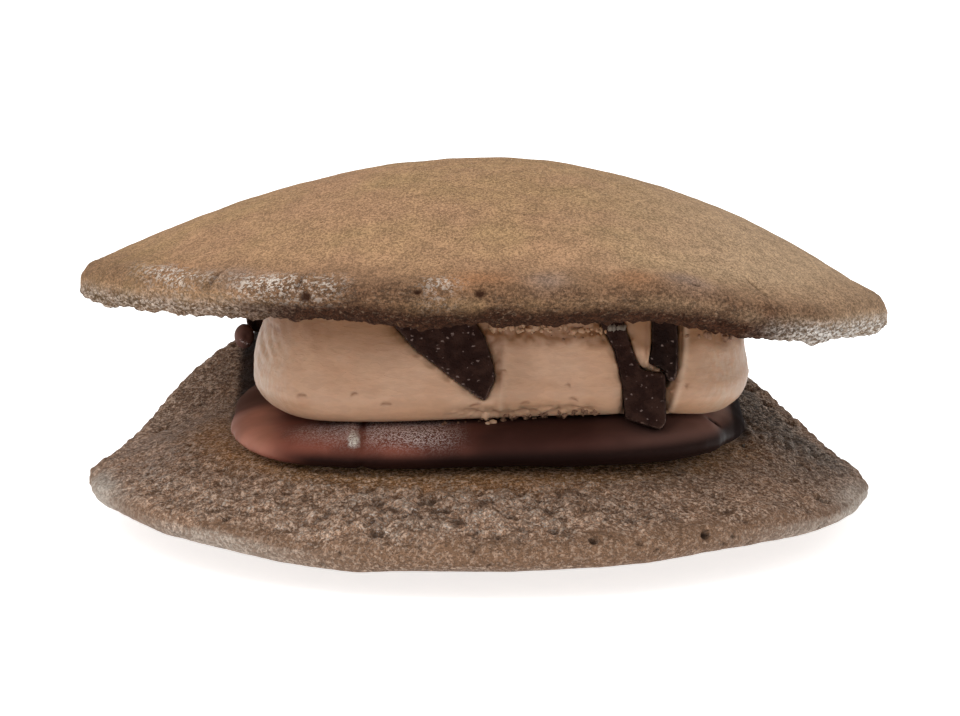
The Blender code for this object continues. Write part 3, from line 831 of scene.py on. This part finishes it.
shape = bmesh.new()
for across in (0.0147, 0.0151, 0.0156, 0.0160):
    add_crumb(shape, front_of_filling(across, 0.0280), 0.00040)
add_row(shape, front_of_filling, 0.0305, 0.0312, 5, lambda a: 0.0141, 0.0012, 0.00016)
pale_crumbs = add_piece("pale_crumbs", to_mesh("pale_crumbs", shape), "upper_sponge")

# %% [markdown]
# ## Materials
#
# Every finish here is uneven at more than one size, so three effects are shared: grain, which is fine and
# everywhere, flecks, which are small and sparse, and blotches, which are broad and faint. Pictures could hold
# them too, but noise in Object coordinates has no seams and no edge. Each effect is a node group that is
# built once and given its own values in each material. Colours are linear red, green and blue.

# %% Node helpers


def feed(tree, target, source):
    """Links a socket, or sets a number or colour on it."""
    if isinstance(source, bpy.types.NodeSocket):
        tree.links.new(source, target)
    else:
        target.default_value = source


def add_node(tree, kind, inputs, **settings):
    """A node with these settings, and with its inputs fed by name or number: its outputs."""
    made = tree.nodes.new(kind)
    for name, value in settings.items():
        setattr(made, name, value)
    for name, source in inputs.items():
        feed(tree, made.inputs[name], source)
    return made.outputs


def calculate(tree, operation, *values, clamp=False):
    return add_node(tree, "ShaderNodeMath", dict(enumerate(values)), operation=operation, use_clamp=clamp)[0]


def blend(tree, share, first, second, mode="MIX"):
    """Mixes two colours by a share from 0 to 1."""
    inputs = {0: share, 6: first, 7: second}
    return add_node(tree, "ShaderNodeMix", inputs, data_type="RGBA", blend_type=mode)[2]


def ramp(tree, value, low, high, out_low=0.0, out_high=1.0):
    """Stretches values between low and high, smoothly, to the output range."""
    inputs = {"Value": value, "From Min": low, "From Max": high, "To Min": out_low, "To Max": out_high}
    return add_node(tree, "ShaderNodeMapRange", inputs, interpolation_type="SMOOTHSTEP")["Result"]


def noise_node(tree, place, scale, detail, roughness):
    inputs = {"Vector": place, "Scale": scale, "Detail": detail, "Roughness": roughness}
    return add_node(tree, "ShaderNodeTexNoise", inputs)["Fac"]


def cells_node(tree, place, scale):
    """The distance to the middle of each random cell, and three random numbers for the cell."""
    cells = add_node(tree, "ShaderNodeTexVoronoi", {"Vector": place, "Scale": scale}, feature="F1")
    return cells["Distance"], add_node(tree, "ShaderNodeSeparateColor", {0: cells["Color"]})


# %% Grain


def new_group(name, inputs, outputs):
    """A node group with a place and these numbers as inputs: the group, its inputs and its outputs."""
    group = bpy.data.node_groups.new(name, "ShaderNodeTree")
    group.interface.new_socket(name="Vector", in_out="INPUT", socket_type="NodeSocketVector")
    for side, sockets in (("INPUT", inputs), ("OUTPUT", outputs)):
        for socket in sockets:
            group.interface.new_socket(name=socket, in_out=side, socket_type="NodeSocketFloat")
    return group, group.nodes.new("NodeGroupInput").outputs, group.nodes.new("NodeGroupOutput").inputs


def make_grain_group():
    """Fine grain, half cloudy and half granular: a value from 0 to 1 to shade with, and a height for bump."""
    group, entry, leave = new_group("fine_grain", ["Size"], ["Shade", "Height"])
    scale = calculate(group, "DIVIDE", 1.0, entry["Size"])
    broad = noise_node(group, entry["Vector"], scale, 3.0, 0.7)
    tight = noise_node(group, entry["Vector"], calculate(group, "MULTIPLY", scale, 2.3), 2.0, 0.6)
    _, granule = cells_node(group, entry["Vector"], calculate(group, "MULTIPLY", scale, 1.3))
    height = calculate(group, "MULTIPLY", broad, 0.5)
    for source, share in ((tight, 0.35), (granule[0], 0.15)):
        height = calculate(group, "ADD", height, calculate(group, "MULTIPLY", source, share))
    feed(group, leave["Shade"], ramp(group, height, 0.34, 0.66))
    feed(group, leave["Height"], height)
    return group

# %% Flecks and blotches


def make_fleck_group():
    """Small ragged spots: 1 in a spot, 0 outside. Amount is the share of cells that hold one."""
    group, entry, leave = new_group("flecks", ["Size", "Amount", "Radius"], ["Mask"])
    inputs = {"Vector": entry["Vector"], "Scale": calculate(group, "DIVIDE", 1.6, entry["Size"])}
    warp = add_node(group, "ShaderNodeTexNoise", inputs)["Color"]
    inputs = {0: warp, "Scale": calculate(group, "MULTIPLY", entry["Size"], 0.9)}
    shift = add_node(group, "ShaderNodeVectorMath", inputs, operation="SCALE")[0]
    bent = add_node(group, "ShaderNodeVectorMath", {0: entry["Vector"], 1: shift}, operation="ADD")[0]
    distance, chosen = cells_node(group, bent, calculate(group, "DIVIDE", 1.0, entry["Size"]))
    present = calculate(group, "LESS_THAN", chosen[0], entry["Amount"])
    reach = calculate(group, "MULTIPLY", entry["Radius"], calculate(group, "ADD", 0.4, chosen[1]))
    inside = ramp(group, distance, reach, calculate(group, "MULTIPLY", reach, 0.4))
    feed(group, leave["Mask"], calculate(group, "MULTIPLY", present, inside))
    return group


def make_blotch_group():
    """Broad faint patches, from 0 to 1."""
    group, entry, leave = new_group("blotches", ["Size"], ["Patch"])
    scale = calculate(group, "DIVIDE", 1.0, entry["Size"])
    cloud = noise_node(group, entry["Vector"], scale, 3.0, 0.55)
    feed(group, leave["Patch"], ramp(group, cloud, 0.30, 0.70))
    return group


GRAIN = make_grain_group()
FLECKS = make_fleck_group()
BLOTCHES = make_blotch_group()
print("groups:", [group.name for group in bpy.data.node_groups])

# %% Finishes


class Finish:
    """One material, with short calls for what the recipes below have in common."""

    def __init__(self, name, colour, roughness, specular):
        self.material = bpy.data.materials.new(name)
        self.material.use_nodes = True
        self.tree = self.material.node_tree
        self.shader = self.tree.nodes["Principled BSDF"]
        self.shader.inputs["Roughness"].default_value = roughness
        self.shader.inputs["Specular IOR Level"].default_value = specular
        self.place = add_node(self.tree, "ShaderNodeTexCoord", {})["Object"]
        self.colour = (*colour, 1.0)
        self.shader.inputs["Base Color"].default_value = self.colour

    def group(self, group, place=None, **values):
        inputs = {"Vector": place or self.place, **values}
        return add_node(self.tree, "ShaderNodeGroup", inputs, node_tree=group)

    def stretched(self, scale, turn=0.0):
        """The place, drawn out along each axis by its scale after a turn about the Y axis."""
        inputs = {"Vector": self.place, "Rotation": (0.0, math.radians(turn), 0.0), "Scale": scale}
        return add_node(self.tree, "ShaderNodeMapping", inputs, vector_type="TEXTURE")[0]

    def mask(self, name, amount=1.0):
        """A mask that was painted on the mesh, scaled."""
        return self.times(add_node(self.tree, "ShaderNodeAttribute", {}, attribute_name=name)["Fac"], amount)

    def times(self, first, second):
        return calculate(self.tree, "MULTIPLY", first, second)

    def unless(self, value, amount=1.0):
        """1 where the value is 0, and less by this amount where it is 1."""
        return calculate(self.tree, "SUBTRACT", 1.0, self.times(value, amount), clamp=True)

    def ramp(self, value, low, high, out_low=0.0, out_high=1.0):
        return ramp(self.tree, value, low, high, out_low, out_high)

    def toward(self, colour, share):
        """Moves the base colour toward another one by a share from 0 to 1."""
        self.colour = blend(self.tree, share, self.colour, (*colour, 1.0))

    def over(self, colour, name, amount=1.0):
        """Moves the base colour toward another one where a mask was painted on the mesh."""
        self.toward(colour, self.mask(name, amount))

    def shade(self, value, darkest, lightest, share=1.0):
        """Multiplies the base colour by a factor that follows a value, as far as the share says."""
        factor = self.ramp(value, 0.0, 1.0, darkest, lightest)
        self.colour = blend(self.tree, share, self.colour, factor, "MULTIPLY")

    def finish(self, meshes, height, bump_distance, roughness=None):
        inputs = {"Strength": 1.0, "Distance": bump_distance, "Height": height}
        bump = add_node(self.tree, "ShaderNodeBump", inputs)
        feed(self.tree, self.shader.inputs["Normal"], bump["Normal"])
        feed(self.tree, self.shader.inputs["Base Color"], self.colour)
        if roughness:
            feed(self.tree, self.shader.inputs["Roughness"], roughness)
        for mesh in meshes:
            mesh.materials.append(self.material)
        print(f"{self.material.name}: {len(self.tree.nodes)} nodes")


# %% [markdown]
# ### Griddled skin
#
# The dome is a dry light brown with a salt-and-pepper grain, ruddier towards the rim and greyer on the right,
# with orange and mauve spots above the rim. The rim itself is a purplish dark brown, and its underside is
# painted nearly black with painted shade. Painted glints of light sit on its left half. The underside at
# both tips is painted whitish with painted light from the bright floor, over the pale bare sponge there. The
# pits and cracks get painted shade. Each of these is one colour laid over the last where a mask is painted.

# %% Material of the upper pancake
TAN = (0.408, 0.254, 0.127)
TAN_PINK = (0.425, 0.245, 0.137)
TAN_GREY = (0.400, 0.270, 0.164)
TAN_DEEP = (0.215, 0.118, 0.066)
ORANGE = (0.380, 0.165, 0.070)
MAUVE = (0.290, 0.205, 0.165)
SPECK = (0.130, 0.070, 0.034)
RIM_BROWN = (0.078, 0.038, 0.021)
RIM_DARK = (0.036, 0.014, 0.007)
RIM_CHIP = (0.200, 0.135, 0.090)
FROST = (0.450, 0.400, 0.350)
FROST_COOL = (0.430, 0.430, 0.420)
GLINT = (0.700, 0.620, 0.540)

skin = Finish("griddled_skin", TAN, 0.85, 0.07)
grain = skin.group(GRAIN, skin.stretched((1.0, 1.4, 1.0)), Size=0.00027)
streaks = skin.group(GRAIN, skin.stretched((2.0, 2.0, 1.0)), Size=0.00033)
patch = skin.group(BLOTCHES, Size=0.0110)["Patch"]
small_patch = skin.group(BLOTCHES, Size=0.0026)["Patch"]
skin.toward(TAN_PINK, patch)
skin.over(TAN_GREY, "grey")
skin.over(TAN_DEEP, "warm", 0.8)
skin.over(ORANGE, "blush", 0.5)
skin.over(MAUVE, "mauve", 0.55)
skin.toward(RIM_BROWN, skin.times(skin.mask("rim"), skin.ramp(small_patch, 0.0, 1.0, 0.80, 1.0)))
# Painted shade under the rim, over its own dark brown.
skin.over(RIM_DARK, "under")
chip = skin.ramp(skin.group(GRAIN, skin.stretched((2.0, 2.0, 1.0)), Size=0.00030)["Height"], 0.54, 0.62)
skin.toward(RIM_CHIP, skin.times(chip, skin.mask("rim", 0.5)))
# Painted light from the floor on the pale underside at the tips.
frosted = skin.times(skin.mask("frost"), skin.ramp(streaks["Shade"], 0.15, 0.85, 0.10, 0.95))
skin.toward(FROST, frosted)
skin.toward(FROST_COOL, skin.times(frosted, skin.mask("grey", 0.8)))
skin.shade(grain["Shade"], 0.64, 1.34)
skin.shade(streaks["Shade"], 0.56, 1.46, skin.mask("edge", 0.85))
skin.shade(skin.mask("grey"), 0.89, 1.03)
skin.shade(small_patch, 0.90, 1.08)
dark_speck = skin.group(FLECKS, Size=0.0011, Amount=0.40, Radius=0.16)["Mask"]
skin.toward(SPECK, skin.times(dark_speck, 0.75))
# Painted highlight: glints of light where the rim is glossy.
glint = skin.ramp(skin.group(GRAIN, skin.stretched((1.5, 1.5, 1.0)), Size=0.00032)["Height"], 0.50, 0.57)
skin.toward(GLINT, skin.times(glint, skin.mask("gloss", 0.9)))
# Painted shade in the pits and cracks.
skin.over(RIM_DARK, "pore", 0.95)
skin.finish([upper_mesh], grain["Height"], 0.00030, skin.ramp(skin.mask("gloss"), 0.0, 1.0, 0.85, 0.38))

# %% [markdown]
# ### Moist sponge
#
# The inner face is open crumb: amber beside the paste and greyer behind. Painted shade darkens its pores, the
# hollows between its lumps and the gaps beside the filling, and painted light makes its crests paler. It is
# wet on its crests, which sparkle. One coat over everything would look like varnish, so the coat follows a
# fine grain and shows only where the mesh is wet. The pale glints are painted highlights that follow it too,
# and fade out over the smooth rim. Near the tips the underside gets painted light from the bright floor.

# %% Material of the lower pancake
SPONGE = (0.500, 0.290, 0.180)
SPONGE_PALE = (0.640, 0.500, 0.400)
SPONGE_DARK = (0.150, 0.088, 0.056)
AMBER = (0.560, 0.270, 0.105)
BAND = (0.220, 0.124, 0.073)
TIP = (0.640, 0.580, 0.510)
BACK_GREY = (0.180, 0.143, 0.115)
HOLLOW = (0.045, 0.026, 0.018)
GAP_DARK = (0.026, 0.013, 0.010)

sponge = Finish("moist_sponge", SPONGE, 0.60, 0.12)
sponge.shader.inputs["Specular Tint"].default_value = (1.0, 0.84, 0.72, 1.0)
grain = sponge.group(GRAIN, Size=0.00044)
patch = sponge.group(BLOTCHES, Size=0.0050)["Patch"]
cluster = sponge.group(BLOTCHES, Size=0.0021)["Patch"]
sponge.toward(SPONGE_DARK, sponge.ramp(patch, 0.0, 1.0, 0.0, 0.40))
sponge.over(AMBER, "amber")
sponge.over(BACK_GREY, "back", 0.85)
sponge.over(BAND, "band", 0.85)
sponge.over(BAND, "under")
quiet = sponge.unless(sponge.mask("band"), 0.6)
sponge.toward(SPONGE_PALE, sponge.times(sponge.ramp(grain["Shade"], 0.45, 1.0, 0.0, 0.65), quiet))
sponge.shade(grain["Shade"], 0.36, 1.20, quiet)
# Painted light from the floor: pale undersides at the tips.
sponge.toward(TIP, sponge.times(sponge.mask("frost", 0.80), sponge.ramp(grain["Shade"], 0.0, 0.8, 0.4, 1.0)))
# Painted light on the crests.
sponge.over(SPONGE_PALE, "crest", 0.20)
# Painted highlights: glints of light on the wet crumb.
points_of_light = sponge.group(GRAIN, sponge.stretched((1.4, 1.4, 1.0)), Size=0.00024)
glint = sponge.ramp(points_of_light["Height"], 0.52, 0.58)
bright = sponge.ramp(sponge.mask("wet"), 0.0, 1.0, 0.42, 1.0)
bright = sponge.times(bright, sponge.ramp(cluster, 0.25, 0.75, 0.50, 1.0))
bright = sponge.times(bright, sponge.ramp(sponge.mask("crest"), 0.0, 0.7, 0.60, 1.0))
glint = sponge.times(glint, sponge.ramp(grain["Shade"], 0.15, 0.55, 0.15, 1.0))
sponge.toward(GLINT, sponge.times(sponge.times(glint, bright), quiet))
# Painted shade in the hollows and the holes, and painted shadow in the gaps beside the filling.
sponge.over(HOLLOW, "hollow", 0.65)
sponge.over(HOLLOW, "pore", 0.95)
sponge.over(GAP_DARK, "gap", 0.95)
wetness = sponge.times(sponge.mask("wet"), sponge.ramp(patch, 0.1, 0.6, 0.4, 1.0))
raised = calculate(sponge.tree, "ADD", grain["Height"], sponge.times(glint, 0.35))
feed(sponge.tree, sponge.shader.inputs["Coat Weight"], sponge.times(glint, wetness))
sponge.shader.inputs["Coat Roughness"].default_value = 0.20
sponge.finish([lower_mesh], raised, 0.00070, sponge.ramp(wetness, 0.0, 1.0, 0.60, 0.34))

# %% [markdown]
# ### Paste
#
# The paste has one soft gloss, and its colour does the rest, painted light and shade included. The sugary
# sheen could be left to bump and light, but then it would come and go with the view, so it is a painted
# highlight: a white grain inside a painted band.

# %% Material of the paste
PASTE = (0.056, 0.0225, 0.0180)
PASTE_RED = (0.200, 0.066, 0.045)
PASTE_ROSY = (0.430, 0.190, 0.130)
KNOB = (0.310, 0.195, 0.160)
PASTE_GREY = (0.172, 0.090, 0.072)
PASTE_FOOT = (0.008, 0.0035, 0.003)
SUGAR = (0.860, 0.740, 0.710)
SUGAR_WHITE = (0.850, 0.850, 0.780)

glaze = Finish("glossy_paste", PASTE, 0.48, 0.04)
glaze.shader.inputs["Specular Tint"].default_value = (1.0, 0.78, 0.66, 1.0)
patch = glaze.group(BLOTCHES, Size=0.0080)["Patch"]
sparkle = glaze.group(GRAIN, Size=0.00019)
# Painted light from the left, over a redder tone.
glaze.toward(PASTE_RED, glaze.times(glaze.mask("left"), glaze.ramp(patch, 0.0, 1.0, 0.75, 1.0)))
# Painted reflection at the outer left edge.
glaze.over(PASTE_ROSY, "far_left", 0.8)
glaze.over(PASTE_GREY, "right", 0.8)
# Painted highlight on the knob at the right end.
glaze.over(KNOB, "knob", 0.6)
glaze.shade(patch, 0.85, 1.15)
# Painted shadow at the foot, and where the cream shades the paste.
glaze.over(PASTE_FOOT, "foot", 0.95)
glaze.over(PASTE_FOOT, "shaded", 0.92)
# Painted highlight: sparkle along the shoulder and a bright spot beside the dent.
sugar = sparkle["Height"]
glaze.toward(SUGAR, glaze.times(glaze.ramp(sugar, 0.49, 0.55), glaze.mask("sheen")))
spot = glaze.ramp(glaze.mask("spot"), 0.1, 0.7)
glaze.toward(SUGAR_WHITE, glaze.times(glaze.ramp(sugar, 0.41, 0.54), spot))
# Painted shade in the pit.
glaze.over(PASTE_FOOT, "pore")
grainy = glaze.times(sparkle["Height"], glaze.ramp(glaze.mask("sheen"), 0.0, 1.0, 0.06, 1.0))
gloss = calculate(glaze.tree, "SUBTRACT", glaze.mask("sheen", 0.14), glaze.mask("shaded", 0.40))
glaze.finish([paste_mesh, bead_mesh], grainy, 0.00016, calculate(glaze.tree, "SUBTRACT", 0.48, gloss))

# %% [markdown]
# ### Cream
#
# Cream lets a little light in, so it alone gets subsurface scattering. Its drag marks are blotches drawn out
# sideways, and the fans that the knife left at both ends are the same blotches, turned. Painted highlight
# whitens the ends along the fans and lightens the ridge and the seam, and painted shade darkens the nicks.

# %% Material of the cream
CREAM = (0.465, 0.270, 0.164)
CREAM_PALE = (0.530, 0.345, 0.235)
CREAM_WHITE = (0.560, 0.450, 0.350)
CREAM_DEEP = (0.200, 0.094, 0.040)
SMEAR = (0.190, 0.085, 0.040)

satin = Finish("cocoa_cream", CREAM, 0.50, 0.35)
dragged = satin.stretched((3.0, 3.0, 1.0))
drag = satin.group(BLOTCHES, dragged, Size=0.0026)["Patch"]
patch = satin.group(BLOTCHES, Size=0.0080)["Patch"]
fine = satin.group(GRAIN, dragged, Size=0.00070)
left_fan = satin.group(BLOTCHES, satin.stretched((1.0, 1.0, 7.0), -28.0), Size=0.00055)["Patch"]
right_fan = satin.group(BLOTCHES, satin.stretched((1.0, 1.0, 7.0), 38.0), Size=0.00055)["Patch"]
satin.toward(CREAM_PALE, satin.ramp(patch, 0.0, 1.0, 0.0, 0.45))
# Painted highlight where the ends catch the light, along the knife's fans.
for end, share, fan, least in (("left_end", 0.55, left_fan, 0.25), ("right_end", 0.45, right_fan, 0.20)):
    satin.toward(CREAM_WHITE, satin.times(satin.mask(end, share), satin.ramp(fan, 0.2, 0.8, least, 1.0)))
satin.over(CREAM_DEEP, "sides", 0.32)
satin.toward(CREAM_DEEP, satin.ramp(drag, 0.0, 0.5, 0.10, 0.0))
satin.over(CREAM_DEEP, "shade", 0.92)
satin.shade(fine["Shade"], 0.95, 1.05)
# Painted highlight on the ridge and the seam.
satin.over(CREAM_WHITE, "raised", 0.25)
# Smears, stains and crumbly edges, and painted shade in the nicks.
satin.over(SMEAR, "smear", 0.90)
speck = satin.group(FLECKS, Size=0.0034, Amount=0.30, Radius=0.06)["Mask"]
satin.toward(SMEAR, satin.times(speck, 0.7))
satin.shader.inputs["Subsurface Weight"].default_value = 0.12
satin.shader.inputs["Subsurface Scale"].default_value = 0.002
satin.finish([cream_mesh, cream_lumps.data], fine["Height"], 0.00008)

# %% [markdown]
# ### Chocolate and crumbs
#
# Snapped chocolate is matt and nearly black, with pale dust on it. Its front edges get a painted highlight,
# and the block a painted shade. Flecks make the dust, as real grains so fine would cost many faces. The
# crumbs get two colours each, mixed by blotches.

# %% Material of the chocolate
CHOCOLATE = (0.0155, 0.0056, 0.0038)
CHOCOLATE_WORN = (0.0330, 0.0145, 0.0100)
EDGE = (0.170, 0.110, 0.085)
DUST = (0.200, 0.145, 0.130)

snap = Finish("dark_chocolate", CHOCOLATE, 0.55, 0.05)
patch = snap.group(BLOTCHES, Size=0.0016)["Patch"]
grain = snap.group(GRAIN, Size=0.00045)
snap.toward(CHOCOLATE_WORN, snap.ramp(patch, 0.2, 1.0, 0.0, 0.8))
# Painted shade on the block.
snap.shade(snap.mask("deep"), 1.0, 0.55)
speck = snap.group(FLECKS, snap.stretched((1.6, 1.0, 1.0)), Size=0.00036, Amount=0.24, Radius=0.34)["Mask"]
snap.toward(DUST, snap.times(speck, 0.7))
# Painted highlight on the front edges.
snap.toward(EDGE, snap.times(snap.mask("worn", 0.8), snap.ramp(grain["Shade"], 0.1, 0.7)))
snap.finish([piece.data for piece in chocolate_pieces], grain["Height"], 0.00025)

# %% Material of the crumbs
CRUMB = (0.270, 0.150, 0.092)
CRUMB_DARK = (0.120, 0.060, 0.036)
CRUMB_PALE = (0.170, 0.138, 0.110)
CRUMB_GREY = (0.085, 0.064, 0.048)


def finish_crumbs(name, light, dark, piece):
    crumbly = Finish(name, light, 0.80, 0.20)
    crumbly.toward(dark, crumbly.group(BLOTCHES, Size=0.0009)["Patch"])
    crumbly.finish([piece.data], crumbly.group(GRAIN, Size=0.0003)["Height"], 0.0002)


finish_crumbs("brown_crumb", CRUMB, CRUMB_DARK, brown_crumbs)
finish_crumbs("pale_crumb", CRUMB_PALE, CRUMB_GREY, pale_crumbs)

# %% [markdown]
# ## Sizes and the end
#
# The finished model must stay inside the solids' box, so how far each side of the box moved is printed at the
# end.

# %% Sizes and finish
dressed_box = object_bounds()
for before, after in zip(cad_box, dressed_box):
    print("moved by mm:", [round(1000.0 * (b - a), 2) for a, b in zip(before, after)])
